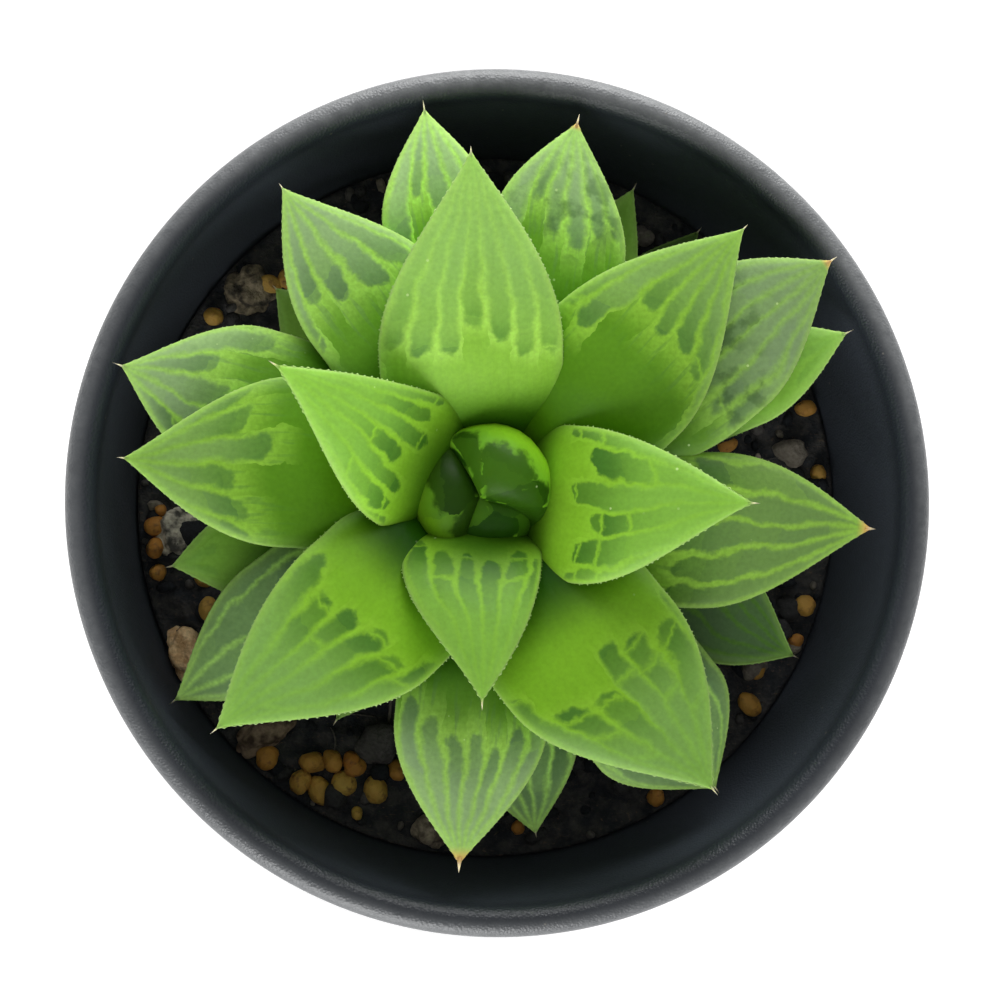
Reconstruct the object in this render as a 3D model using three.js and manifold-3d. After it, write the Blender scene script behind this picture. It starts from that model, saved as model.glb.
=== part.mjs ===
// A small haworthia in a round nursery pot, in millimetres, +Z up.
// The origin is the middle of the pot's foot, where the pot rests.
import * as THREE from 'three';
import { mergeVertices } from 'three/addons/utils/BufferGeometryUtils.js';
import Module from 'manifold-3d';

const wasm = await Module();
wasm.setup();
const { degToRad, lerp, mapLinear, smoothstep } = THREE.MathUtils;

// ---- Driving dimensions ------------------------------------------------------------

// Clearance between pieces that touch.
const GAP = 0.3;

const POT = {
  rimRadius: 37.5,
  rimHeight: 65,
  lipWidth: 2.7,
  lipDrop: 4.5,
  lipChamfer: 0.8,
  footRadius: 26,
  footChamfer: 0.8,
  footRing: 4,
  footRecess: 1.8,
  wall: 1.3,
  floorTop: 3.6,
  segments: 48,
};
const DRAIN = { centreRadius: 5, ringRadius: 3, ringCount: 6, ringCircle: 15, segments: 16 };

const SOIL = { edgeHeight: 50.6, mound: 1.6, rings: 10, segments: 48, footChamfer: 1 };
// Soil lumps: spacing, how far they wander and how large they are as shares of it, and
// the share of the way to the wall over which they fade.
const LUMPS = { spacing: 4.2, wander: 0.7, smallest: 0.35, spread: 0.3, rise: 1.5, fade: 1 / 6 };

// Middle of the rosette.
const PLANT = new THREE.Vector2(-2, 0.5);
const STEM = { foot: 40, footRadius: 3.4, top: 60, topRadius: 1.5, cap: 1, segments: 16 };
const ROOTS = { count: 5, radius: 0.9, reach: 9, extraReach: 6, depth: 16, extraDepth: 12, sides: 6, stations: 7 };

// Open leaves from the youngest out, on a spiral that turns clockwise by about 136
// degrees a leaf. Each has its direction in degrees, the reach of its tip from the middle
// of the rosette, the height of its tip over the rim, its width, where along it the leaf
// is widest, and how far its middle bows to the left.
const LEAVES = [
  { direction: 267, reach: 17.4, tip: 8.0, width: 11.8, widest: 0.4, bow: -1.0 },
  { direction: 151, reach: 20.4, tip: 10.0, width: 12.4, widest: 0.28, bow: 0.9 },
  { direction: 357, reach: 21.3, tip: 10.0, width: 13.4, widest: 0.38, bow: -0.7 },
  { direction: 221, reach: 29.8, tip: 6.0, width: 14.8, widest: 0.5, bow: 1.1 },
  { direction: 94, reach: 27.8, tip: 9.0, width: 15.6, widest: 0.46, bow: 0.6 },
  { direction: 307, reach: 31.3, tip: 5.0, width: 16.6, widest: 0.55, bow: -1.2 },
  { direction: 175, reach: 30.4, tip: 4.0, width: 14.4, widest: 0.58, bow: -1.1 },
  { direction: 46, reach: 30.9, tip: 6.0, width: 15.2, widest: 0.5, bow: -0.8 },
  { direction: 266, reach: 31.5, tip: 1.0, width: 13.2, widest: 0.64, bow: 0.35 },
  { direction: 124, reach: 31.0, tip: 2.0, width: 12.8, widest: 0.6, bow: -1.4 },
  { direction: 355, reach: 34.0, tip: 0.5, width: 13.6, widest: 0.6, bow: -1.5 },
  { direction: 214, reach: 31.8, tip: -4.0, width: 11.0, widest: 0.66, bow: -0.8 },
  { direction: 76, reach: 33.0, tip: 1.0, width: 12.0, widest: 0.7, bow: -1.5 },
  { direction: 309, reach: 33.2, tip: -4.0, width: 13.8, widest: 0.77, bow: 0 },
  { direction: 161, reach: 32.5, tip: 1.0, width: 13.0, widest: 0.7, bow: -1.0 },
  { direction: 34, reach: 35.9, tip: 3.0, width: 12.4, widest: 0.7, bow: -1.6 },
  { direction: 280, reach: 30.4, tip: -7.0, width: 9.8, widest: 0.74, bow: 0.5 },
  { direction: 99, reach: 33.4, tip: 0.5, width: 10.2, widest: 0.72, bow: 0 },
  { direction: 334, reach: 32.8, tip: -10.0, width: 10.0, widest: 0.72, bow: 1.8 },
  { direction: 193, reach: 27.6, tip: -7.0, width: 9.0, widest: 0.7, bow: 1.3 },
  { direction: 24, reach: 35.1, tip: -0.5, width: 9.0, widest: 0.72, bow: 0.3 },
  { direction: 63, reach: 31.3, tip: -7.0, width: 7.0, widest: 0.72, bow: -1.0 },
  { direction: 134, reach: 25.8, tip: -8.0, width: 8.0, widest: 0.7, bow: 0.3 },
  { direction: 238, reach: 23.4, tip: -8.0, width: 6.5, widest: 0.7, bow: 0 },
  { direction: 50, reach: 32.0, tip: -9.0, width: 7.0, widest: 0.7, bow: 0 },
];
const BRIGHT_LEAVES = 11;

// Leaves still closed in the bud, innermost first. Their tips fold in over the middle, so
// the reach is small or negative, and belly is how far they stand out on the way.
const BUD_LEAVES = [
  { direction: 300, reach: -1.6, tip: 0.2, width: 10.0, widest: 0.6, bow: 0, belly: 3.8 },
  { direction: 184, reach: 0.2, tip: 0.8, width: 11.5, widest: 0.66, bow: 0, belly: 4.5 },
  { direction: 50, reach: -0.8, tip: 2.4, width: 12.5, widest: 0.68, bow: 0, belly: 4.4 },
];

// How leaves grow from the youngest to the oldest: height of the foot, steepness of the
// middle line where it starts and where it ends, in degrees.
const FOOT_HEIGHTS = [59, 52.5];
const LAUNCH_ANGLES = [76, 34];
const LANDING_ANGLES = [14, -4];
const LAUNCH_PULL = 0.42;
const LANDING_PULL = 0.4;
const FOOT_CLEARANCE = 0.6;

// A leaf's section: its crown and keel as shares of the width, the share of the width at
// its foot, and the radius that its width bends round.
const SECTION = { crown: 0.11, keel: 0.23, foot: 0.55, edge: 1.25 };
const POINT_POWER = 1.15;
const ROUND_END = 0.08;
const OPEN_LEAF = { wrap: 200, sides: 8, stations: 10 };
const CLOSED_LEAF = { wrap: 4.6, sides: 12, stations: 14 };

const STONES = [
  { name: 'stone_tan', place: [-27.4, -13.9], size: [3.5, 5.9, 4.0], turn: 26, colour: 0xb09470 },
  { name: 'stone_grey', place: [-5.6, -29.8], size: [2.8, 3.4, 2.4], turn: 60, colour: 0x8b857c },
  { name: 'lump_back', place: [-22.2, 19.6], size: [4.8, 4.2, 3.4], turn: 20, colour: 0x2b2622 },
  { name: 'lump_left', place: [-28.6, -2.6], size: [4.6, 4.0, 3.0], turn: 75, colour: 0x3b3a3a },
  { name: 'bark_chip', place: [-20.6, -20.6], size: [6.0, 3.0, 2.2], turn: 35, colour: 0x5a4a3c },
];
const STONE_DENT = 0.16;
const STONE_LIFT = 0.1;

const FINISH = {
  pot: { color: 0x26292e, roughness: 0.55 },
  soil: { color: 0x2a211b, roughness: 1 },
  stem: { color: 0x8a8f5a, roughness: 0.8 },
  leaf: { color: 0x6fae3c, roughness: 0.45 },
  oldLeaf: { color: 0x4f8a38, roughness: 0.5 },
  bud: { color: 0x3f7a34, roughness: 0.4 },
};
const STONE_ROUGHNESS = 0.9;

// ---- Helpers -----------------------------------------------------------------------

function weld(geometry) {
  geometry.deleteAttribute('normal');
  geometry.deleteAttribute('uv');
  return mergeVertices(geometry, 1e-4);
}

function toSolid(geometry) {
  return new wasm.Manifold(new wasm.Mesh({
    numProp: 3,
    vertProperties: new Float32Array(geometry.attributes.position.array),
    triVerts: new Uint32Array(geometry.index.array),
  }));
}

function largestPiece(solid) {
  return solid.decompose().sort((a, b) => b.volume() - a.volume())[0];
}

function toMesh(name, solid, finish) {
  const { vertProperties, triVerts } = solid.getMesh();
  const geometry = new THREE.BufferGeometry();
  geometry.setAttribute('position', new THREE.BufferAttribute(vertProperties, 3));
  geometry.setIndex(new THREE.BufferAttribute(triVerts, 1));
  geometry.computeVertexNormals();
  const mesh = new THREE.Mesh(geometry, new THREE.MeshStandardMaterial({ ...finish, metalness: 0 }));
  mesh.name = name;
  return mesh;
}

// A closed body on a sphere's grid: place(along, around) gives the point for a share of
// the way from end to end and an angle round the section.
function sweptBody({ sides, stations }, place) {
  const geometry = new THREE.SphereGeometry(1, sides, stations);
  const { position, uv } = geometry.attributes;
  for (let k = 0; k < position.count; k++) {
    const point = place(1 - uv.getY(k), uv.getX(k) * 2 * Math.PI);
    position.setXYZ(k, point.x, point.y, point.z);
  }
  return toSolid(weld(geometry));
}

function turned(profile, segments) {
  const geometry = weld(new THREE.LatheGeometry(profile, segments));
  geometry.rotateX(Math.PI / 2);
  return toSolid(geometry);
}

// A repeatable random draw between 0 and 1.
function draw(seed) {
  const wave = Math.sin(seed * 127.1 + 11.7) * 43758.5453;
  return wave - Math.floor(wave);
}

// ---- Pot ---------------------------------------------------------------------------

const FLOOR_RADIUS = POT.footRadius - POT.wall;
const LIP_ROUND = POT.lipWidth / 2;
const MOUTH_HEIGHT = POT.rimHeight - LIP_ROUND;
const MOUTH_RADIUS = POT.rimRadius - POT.lipWidth;

function innerRadius(height) {
  return mapLinear(height, POT.floorTop, MOUTH_HEIGHT, FLOOR_RADIUS, MOUTH_RADIUS);
}

// Half section, from the middle of the underside round to the middle of the floor.
function potProfile() {
  const recessRadius = POT.footRadius - POT.footRing;
  const lipFoot = POT.rimHeight - POT.lipDrop;
  const floorStep = SOIL.footChamfer;
  const profile = new THREE.Path();
  profile.moveTo(0, POT.footRecess);
  profile.lineTo(recessRadius - POT.footRecess, POT.footRecess);
  profile.lineTo(recessRadius, 0);
  profile.lineTo(POT.footRadius - POT.footChamfer, 0);
  profile.lineTo(POT.footRadius, POT.footChamfer);
  profile.lineTo(innerRadius(lipFoot) + POT.wall, lipFoot);
  profile.lineTo(POT.rimRadius - POT.lipChamfer / 2, lipFoot);
  profile.lineTo(POT.rimRadius, lipFoot + POT.lipChamfer);
  profile.lineTo(POT.rimRadius, MOUTH_HEIGHT);
  profile.absarc(POT.rimRadius - LIP_ROUND, MOUTH_HEIGHT, LIP_ROUND, 0, Math.PI, false);
  profile.lineTo(innerRadius(POT.floorTop + floorStep), POT.floorTop + floorStep);
  profile.lineTo(FLOOR_RADIUS - floorStep, POT.floorTop);
  profile.lineTo(0, POT.floorTop);
  return profile.getPoints(4);
}

function drill(radius, x, y) {
  const geometry = new THREE.CylinderGeometry(radius, radius, 4 * POT.floorTop, DRAIN.segments);
  geometry.rotateX(Math.PI / 2);
  geometry.translate(x, y, 0);
  return toSolid(weld(geometry));
}

function makePot() {
  let pot = turned(potProfile(), POT.segments).subtract(drill(DRAIN.centreRadius, 0, 0));
  for (let k = 0; k < DRAIN.ringCount; k++) {
    const angle = 2 * Math.PI * k / DRAIN.ringCount;
    const [x, y] = [DRAIN.ringCircle * Math.cos(angle), DRAIN.ringCircle * Math.sin(angle)];
    pot = pot.subtract(drill(DRAIN.ringRadius, x, y));
  }
  return pot;
}

// ---- Soil --------------------------------------------------------------------------

// Rise at a point of the round lump that belongs to one cell of the grid.
function lumpRise(x, y, column, row) {
  const seed = column * 57 + row;
  const dx = x - LUMPS.spacing * (column + LUMPS.wander * (draw(seed) - 0.5));
  const dy = y - LUMPS.spacing * (row + LUMPS.wander * (draw(seed + 0.3) - 0.5));
  const size = LUMPS.spacing * (LUMPS.smallest + LUMPS.spread * draw(seed + 0.6));
  const inside = 1 - (dx * dx + dy * dy) / (size * size);
  return inside > 0 ? LUMPS.rise * draw(seed + 0.9) * Math.sqrt(inside) : 0;
}

// Height of the soil: a low mound under the plant, with a field of round lumps.
function soilHeight(x, y) {
  const reach = Math.hypot(x, y) / innerRadius(SOIL.edgeHeight);
  const column = Math.round(x / LUMPS.spacing);
  const row = Math.round(y / LUMPS.spacing);
  let lump = 0;
  for (let i = column - 1; i <= column + 1; i++) {
    for (let j = row - 1; j <= row + 1; j++) {
      lump = Math.max(lump, lumpRise(x, y, i, j));
    }
  }
  const fade = Math.min(1, Math.max(0, 1 - reach) / LUMPS.fade);
  return SOIL.edgeHeight + SOIL.mound * (1 - reach * reach) + lump * fade;
}

function makeSoil() {
  const edge = innerRadius(SOIL.edgeHeight) - GAP;
  const foot = POT.floorTop + GAP;
  const side = innerRadius(foot + SOIL.footChamfer) - GAP;
  const profile = [
    new THREE.Vector2(0, foot),
    new THREE.Vector2(side - SOIL.footChamfer, foot),
    new THREE.Vector2(side, foot + SOIL.footChamfer),
  ];
  for (let k = SOIL.rings; k >= 0; k--) {
    profile.push(new THREE.Vector2(edge * k / SOIL.rings, SOIL.edgeHeight));
  }
  const geometry = new THREE.LatheGeometry(profile, SOIL.segments);
  geometry.rotateX(Math.PI / 2);
  const { position } = geometry.attributes;
  for (let k = 0; k < position.count; k++) {
    if (position.getZ(k) > SOIL.edgeHeight - GAP) {
      position.setZ(k, soilHeight(position.getX(k), position.getY(k)));
    }
  }
  return toSolid(weld(geometry));
}

// A dented stone that sits a little more than half out of the soil.
function makeStone({ place: [x, y], size, turn }, clearance) {
  const geometry = weld(new THREE.IcosahedronGeometry(1, 1));
  const { position } = geometry.attributes;
  const point = new THREE.Vector3();
  const halfSize = new THREE.Vector3(...size).multiplyScalar(0.5).addScalar(clearance);
  for (let k = 0; k < position.count; k++) {
    point.fromBufferAttribute(position, k);
    const wave = Math.sin(3.1 * point.x + 5 * point.z + turn) * Math.cos(4.3 * point.y - turn);
    point.multiplyScalar(1 + STONE_DENT * wave).multiply(halfSize);
    position.setXYZ(k, point.x, point.y, point.z);
  }
  geometry.rotateZ(degToRad(turn));
  geometry.translate(x, y, soilHeight(x, y) + STONE_LIFT * size[2]);
  return toSolid(geometry);
}

// ---- Stem and roots ----------------------------------------------------------------

function stemRadius(height) {
  return mapLinear(height, STEM.foot, STEM.top, STEM.footRadius, STEM.topRadius);
}

function makeStem(clearance) {
  const profile = [
    new THREE.Vector2(0, STEM.foot - clearance),
    new THREE.Vector2(STEM.footRadius - STEM.cap + clearance, STEM.foot - clearance),
    new THREE.Vector2(STEM.footRadius + clearance, STEM.foot + 2 * STEM.cap),
    new THREE.Vector2(STEM.topRadius + clearance, STEM.top),
    new THREE.Vector2(STEM.topRadius / 2 + clearance, STEM.top + 0.8 * STEM.cap + clearance),
    new THREE.Vector2(0, STEM.top + STEM.cap + clearance),
  ];
  return turned(profile, STEM.segments).translate([PLANT.x, PLANT.y, 0]);
}

// A thick root that leaves the stem's foot, arches out and dives.
function makeRoot(index, clearance) {
  const angle = 2 * Math.PI * (index + 0.3 * draw(index)) / ROOTS.count;
  const reach = ROOTS.reach + ROOTS.extraReach * draw(index + 20);
  const depth = ROOTS.depth + ROOTS.extraDepth * draw(index + 40);
  const pointAt = (radius, swing, height) => new THREE.Vector3(
    PLANT.x + radius * Math.cos(angle + swing), PLANT.y + radius * Math.sin(angle + swing), height);
  const curve = new THREE.CatmullRomCurve3([
    pointAt(1, 0, STEM.foot + 2.5),
    pointAt(0.4 * reach, 0.1, STEM.foot),
    pointAt(0.8 * reach, -0.15, STEM.foot - 0.4 * depth),
    pointAt(reach, 0.1, STEM.foot - depth),
  ]);
  const side = new THREE.Vector3(-Math.sin(angle), Math.cos(angle), 0);
  return sweptBody(ROOTS, (along, around) => {
    const rise = curve.getTangent(along).cross(side).normalize();
    const taper = ROOTS.radius * lerp(1.1, 0.4, along) + clearance;
    const radius = taper * Math.sqrt(Math.sin(Math.PI * along));
    return curve.getPoint(along)
      .addScaledVector(side, -Math.cos(around) * radius)
      .addScaledVector(rise, Math.sin(around) * radius);
  });
}

function makeStemAndRoots(clearance) {
  let solid = makeStem(clearance);
  for (let k = 0; k < ROOTS.count; k++) {
    solid = solid.add(makeRoot(k, clearance));
  }
  return solid;
}

// ---- Leaves ------------------------------------------------------------------------

// Middle line of an open leaf: x is the distance from the middle of the rosette and y is
// the height. Young leaves rise steeply and bend outwards, and old ones lie nearly flat.
function openSpine(leaf, index) {
  const age = index / (LEAVES.length - 1);
  const footHeight = lerp(...FOOT_HEIGHTS, age);
  const launch = degToRad(lerp(...LAUNCH_ANGLES, Math.sqrt(age)));
  const landing = degToRad(lerp(...LANDING_ANGLES, age));
  const foot = new THREE.Vector2(stemRadius(footHeight) + FOOT_CLEARANCE, footHeight);
  const tip = new THREE.Vector2(leaf.reach, POT.rimHeight + leaf.tip);
  const span = foot.distanceTo(tip);
  const rising = new THREE.Vector2(Math.cos(launch), Math.sin(launch));
  const ending = new THREE.Vector2(Math.cos(landing), Math.sin(landing));
  return new THREE.CubicBezierCurve(
    foot,
    foot.clone().addScaledVector(rising, LAUNCH_PULL * span),
    tip.clone().addScaledVector(ending, -LANDING_PULL * span),
    tip,
  );
}

// Middle line of a bud leaf, which bellies outwards and folds in over the middle.
function closedSpine(leaf) {
  const top = POT.rimHeight + leaf.tip;
  return new THREE.CubicBezierCurve(
    new THREE.Vector2(STEM.topRadius, FOOT_HEIGHTS[0]),
    new THREE.Vector2(leaf.belly, POT.rimHeight - 3),
    new THREE.Vector2(leaf.belly, top + 0.6),
    new THREE.Vector2(leaf.reach, top),
  );
}

// Share of the full width at each point of the way along: a narrow foot, a broad
// middle and a point that draws in.
function widthShare(leaf, along) {
  const foot = lerp(SECTION.foot, 1, smoothstep(along, 0, 0.85 * leaf.widest));
  const end = Math.sqrt(1 - Math.max(0, 1 - along / ROUND_END) ** 2);
  const past = Math.max(0, (along - leaf.widest) / (1 - leaf.widest));
  return foot * end * (1 - past * past) ** POINT_POWER;
}

function leafBody(leaf, spine, kind, clearance) {
  const direction = degToRad(leaf.direction);
  const out = new THREE.Vector3(Math.cos(direction), Math.sin(direction), 0);
  const left = new THREE.Vector3(-Math.sin(direction), Math.cos(direction), 0);
  return sweptBody(kind, (along, around) => {
    const share = widthShare(leaf, along);
    const swell = share > 0 ? clearance : 0;
    const depth = leaf.width * share ** 0.8;
    const round = Math.sign(Math.sin(around)) * Math.abs(Math.sin(around)) ** SECTION.edge;
    const thick = round * ((round > 0 ? SECTION.crown : SECTION.keel) * depth + swell);
    const turn = -Math.cos(around) * (leaf.width * share / 2 + swell) / kind.wrap;
    const across = (kind.wrap - thick) * Math.sin(turn) + leaf.bow * Math.sin(Math.PI * along) ** 2;
    const rise = kind.wrap - (kind.wrap - thick) * Math.cos(turn);
    const tangent = spine.getTangent(along);
    const middle = spine.getPoint(along).addScaledVector(tangent, (2 * along - 1) * clearance);
    return new THREE.Vector3(PLANT.x, PLANT.y, middle.y + tangent.x * rise)
      .addScaledVector(out, middle.x - tangent.y * rise)
      .addScaledVector(left, across);
  });
}

// ---- Assembly ----------------------------------------------------------------------

const part = new THREE.Group();

// The space already held, with its clearance. Each piece is cut back from the pieces
// before it: an older leaf lies under and round the younger ones.
let taken = makeStemAndRoots(GAP);

function addCutBack(name, makeSolid, finish) {
  part.add(toMesh(name, largestPiece(makeSolid(0).subtract(taken)), finish));
  taken = taken.add(makeSolid(GAP));
}

BUD_LEAVES.forEach((leaf, k) => {
  const spine = closedSpine(leaf);
  const makeSolid = (clearance) => leafBody(leaf, spine, CLOSED_LEAF, clearance);
  addCutBack(`bud_leaf_${k + 1}`, makeSolid, FINISH.bud);
});
LEAVES.forEach((leaf, k) => {
  const spine = openSpine(leaf, k);
  const makeSolid = (clearance) => leafBody(leaf, spine, OPEN_LEAF, clearance);
  const name = `leaf_${String(k + 1).padStart(2, '0')}`;
  addCutBack(name, makeSolid, k < BRIGHT_LEAVES ? FINISH.leaf : FINISH.oldLeaf);
});
for (const stone of STONES) {
  const finish = { color: stone.colour, roughness: STONE_ROUGHNESS };
  addCutBack(stone.name, (clearance) => makeStone(stone, clearance), finish);
}
part.add(toMesh('stem_and_roots', makeStemAndRoots(0), FINISH.stem));
part.add(toMesh('soil', largestPiece(makeSoil().subtract(taken)), FINISH.soil));
part.add(toMesh('pot', makePot(), FINISH.pot));

export default part;
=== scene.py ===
"""The finished look of a small haworthia in a dark nursery pot.

Lengths are in millimetres, in the frame of the CAD model, and turn into metres where a mesh
is made. The leaves, the soil and the pot repeat the shapes of their CAD nodes, with finer
meshes, and the small things on them, such as teeth and soil crumbs, are added here.
Colours are as on a screen, red, green and blue from 0 to 255.
"""

import math
from dataclasses import dataclass

import bmesh
import bpy
import numpy as np
from mathutils import Matrix, Vector


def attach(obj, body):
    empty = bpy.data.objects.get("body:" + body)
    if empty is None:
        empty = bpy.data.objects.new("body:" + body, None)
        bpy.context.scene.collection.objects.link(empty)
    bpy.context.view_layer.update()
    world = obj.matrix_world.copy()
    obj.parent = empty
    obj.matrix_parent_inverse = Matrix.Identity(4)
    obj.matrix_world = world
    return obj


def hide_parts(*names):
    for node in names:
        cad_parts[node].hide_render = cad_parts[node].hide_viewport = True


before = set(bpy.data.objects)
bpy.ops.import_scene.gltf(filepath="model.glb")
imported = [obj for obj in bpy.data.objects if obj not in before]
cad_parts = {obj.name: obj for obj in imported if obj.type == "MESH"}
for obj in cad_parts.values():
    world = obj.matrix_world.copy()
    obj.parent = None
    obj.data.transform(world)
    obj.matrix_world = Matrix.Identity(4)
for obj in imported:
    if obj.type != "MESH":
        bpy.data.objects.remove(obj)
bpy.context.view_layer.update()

MM = 0.001

# ---- Driving dimensions, the same as the CAD model's ----

RIM_RADIUS = 37.5
RIM_HEIGHT = 65.0
LIP_WIDTH = 2.7
LIP_DROP = 4.5
FOOT_RADIUS = 26.0
FOOT_RING = 4.0
FOOT_RECESS = 1.8
WALL = 1.3
FLOOR_TOP = 3.6
FLOOR_RADIUS = FOOT_RADIUS - WALL
LIP_ROUND = LIP_WIDTH / 2
MOUTH_RADIUS = RIM_RADIUS - LIP_WIDTH
MOUTH_HEIGHT = RIM_HEIGHT - LIP_ROUND
DRAIN_CENTRE_RADIUS = 5.0
DRAIN_RING_RADIUS = 3.0
DRAIN_RING_COUNT = 6
DRAIN_CIRCLE = 15

GAP = 0.3                 # between the soil and the pot
SOIL_EDGE = 50.6          # height of the soil at the wall
SOIL_MOUND = 1.6          # how much higher its middle is
LUMP_SPACING = 4.2
LUMP_RISE = 1.5
LUMP_WANDER = 0.7
LUMP_SMALLEST = 0.35
LUMP_SPREAD = 0.3

PLANT = np.array([-2.0, 0.5])   # where the stem stands
STEM_FOOT = 40.0
STEM_TOP = 60.0
STEM_FOOT_RADIUS = 3.4
STEM_TOP_RADIUS = 1.5

# How leaves grow from the youngest to the oldest: height of the foot, steepness of the
# middle line where it starts and where it ends, in degrees.
FOOT_HEIGHTS = (59.0, 52.5)
LAUNCH_ANGLES = (76, 34)
LANDING_ANGLES = (14, -4)
LAUNCH_PULL = 0.42
LANDING_PULL = 0.4
FOOT_CLEARANCE = 0.6

# A leaf's section: its crown and keel as shares of the width, the share of the width at
# its foot, and the radius that its width bends round.
CROWN = 0.11
KEEL = 0.23
FOOT_SHARE = 0.55
EDGE_POWER = 1.25
POINT_POWER = 1.15
ROUND_END = 0.08
FLAT_WRAP = 200.0
BUD_WRAP = 4.6


@dataclass
class Leaf:
    """One leaf: its form as in the CAD model, and how its skin looks."""
    direction: float        # degrees from +X
    reach: float            # from the rosette's axis to the tip
    tip: float              # height over the rim
    width: float
    widest: float           # share of the way along
    bow: float              # how far the middle line bends sideways
    windows: float          # share of the way along where the clear windows begin
    columns: float          # windows side by side across the leaf
    kind: str               # one of the SKINS
    tone: float             # how light it is beside others of its kind, partly its own tone and partly painted light and shade
    dry: float = 0.0        # how far the tip has dried
    belly: float = 0.0      # how far a bud leaf bulges from the axis
    painted_shade_reach: float = 0.0    # how far from the axis the painted shade between the leaves goes


LEAVES = [
    Leaf(267, 17.4, 8.0, 11.8, 0.40, -1.0, 0.38, 6, "young", 0.66, painted_shade_reach=8.4),
    Leaf(151, 20.4, 10.0, 12.4, 0.28, 0.9, 0.44, 6, "young", 0.90, painted_shade_reach=9.6),
    Leaf(357, 21.3, 10.0, 13.4, 0.38, -0.7, 0.44, 5, "young", 0.77, painted_shade_reach=7.0),
    Leaf(221, 29.8, 6.0, 14.8, 0.50, 1.1, 0.58, 6, "large", 0.70, painted_shade_reach=12.5),
    Leaf(94, 27.8, 9.0, 15.6, 0.46, 0.6, 0.51, 7, "pale", 0.86, painted_shade_reach=7.6),
    Leaf(307, 31.3, 5.0, 16.6, 0.55, -1.2, 0.60, 6, "large", 0.64, painted_shade_reach=14.4),
    Leaf(175, 30.4, 4.0, 14.4, 0.58, -1.1, 0.70, 5, "middle", 0.76),
    Leaf(46, 30.9, 6.0, 15.2, 0.50, -0.8, 0.64, 6, "middle", 0.85),
    Leaf(266, 31.5, 1.0, 13.2, 0.64, 0.35, 0.69, 7, "old", 0.90, 1.0, painted_shade_reach=22),
    Leaf(124, 31.0, 2.0, 12.8, 0.60, -1.4, 0.67, 5, "old", 1.03),
    Leaf(355, 34.0, 0.5, 13.6, 0.60, -1.5, 0.55, 5, "lined", 0.62, 0.8),
    Leaf(214, 31.8, -4.0, 11.0, 0.66, -0.8, 0.50, 4, "shaded", 0.98),
    Leaf(76, 33.0, 1.0, 12.0, 0.70, -1.5, 0.74, 6, "mottled", 1.18, 0.3),
    Leaf(309, 33.2, -4.0, 13.8, 0.77, 0.0, 0.60, 6, "shaded", 0.95),
    Leaf(161, 32.5, 1.0, 13.0, 0.70, -1.0, 0.78, 5, "old", 0.95),
    Leaf(34, 35.9, 3.0, 12.4, 0.70, -1.6, 0.62, 6, "mottled", 0.74, 0.3),
    Leaf(280, 30.4, -7.0, 9.8, 0.74, 0.5, 0.66, 5, "shaded", 1.25),
    Leaf(99, 33.4, 0.5, 10.2, 0.72, 0.0, 0.74, 5, "old", 1.40),
    Leaf(334, 32.8, -10.0, 10.0, 0.72, 1.8, 0.55, 6, "dark", 1.58),
    Leaf(193, 27.6, -7.0, 9.0, 0.70, 1.3, 0.90, 4, "plain", 1.30),
    Leaf(24, 35.1, -0.5, 9.0, 0.72, 0.3, 0.85, 4, "plain", 1.30),
    Leaf(63, 31.3, -7.0, 7.0, 0.72, -1.0, 0.90, 4, "plain", 1.15),
    Leaf(134, 25.8, -8.0, 8.0, 0.70, 0.3, 0.90, 4, "plain", 1.00),
    Leaf(238, 23.4, -8.0, 6.5, 0.70, 0.0, 0.90, 4, "plain", 1.00),
    Leaf(50, 32.0, -9.0, 7.0, 0.70, 0.0, 0.80, 4, "dark", 0.45),
]
BUD_LEAVES = [
    Leaf(300, -1.6, 0.2, 10.0, 0.60, 0.0, 0.45, 3, "bud", 1.5, belly=3.8),
    Leaf(184, 0.2, 0.8, 11.5, 0.66, 0.0, 0.70, 3, "bud", 0.62, belly=4.5),
    Leaf(50, -0.8, 2.4, 12.5, 0.68, 0.0, 0.72, 4, "bud", 1.05, belly=4.4),
]

# Stones, lumps and bark in the soil: name, place, size and turn in degrees.
STONES = [
    ("stone_tan", (-27.4, -13.9), (3.5, 5.9, 4.0), 26),
    ("stone_grey", (-5.6, -29.8), (2.8, 3.4, 2.4), 60),
    ("lump_back", (-22.2, 19.6), (4.8, 4.2, 3.4), 20),
    ("lump_left", (-28.6, -2.6), (4.6, 4.0, 3.0), 75),
    ("bark_chip", (-20.6, -20.6), (6.0, 3.0, 2.2), 35),
]

# ---- The photograph's view ----

# The camera hangs 18 cm over the rim, a little to the left of the middle and in front of it.
CAMERA_PLACE = Vector((-18.815, -6.910, 243.881))
CAMERA_AIM = Vector((-0.631, -0.060, RIM_HEIGHT))
CAMERA_LENS = 75.56
SENSOR = 36.0
PHOTO_SIZE = 1000

# Yellow grains of the soil, by where the photograph shows them, with their size in
# millimetres and their colour from 0, orange, to 1, pale yellow.
GRAINS_IN_PHOTO = [
    (203, 310, 2.1, 0.7), (270, 285, 1.8, 0.8), (144, 527, 2.2, 0.2), (143, 549, 1.9, 0.2),
    (153, 573, 1.7, 0.3), (161, 510, 1.3, 0.2), (208, 608, 1.7, 0.8), (263, 763, 1.9, 0.3),
    (313, 762, 2.1, 0.5), (332, 760, 2.2, 0.4), (351, 761, 1.8, 0.1), (300, 781, 1.9, 0.6),
    (293, 793, 1.8, 0.2), (318, 793, 2.4, 0.7), (344, 783, 2.2, 0.9), (375, 789, 2.3, 0.8),
    (396, 770, 2.2, 0.3), (357, 813, 1.2, 0.9), (826, 374, 1.6, 0.3), (817, 405, 1.9, 0.4),
    (827, 473, 1.9, 0.6), (725, 445, 1.8, 0.3), (815, 610, 2.0, 0.6), (803, 644, 1.4, 0.2),
    (750, 705, 2.6, 0.5), (657, 800, 1.8, 0.3)]


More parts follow.
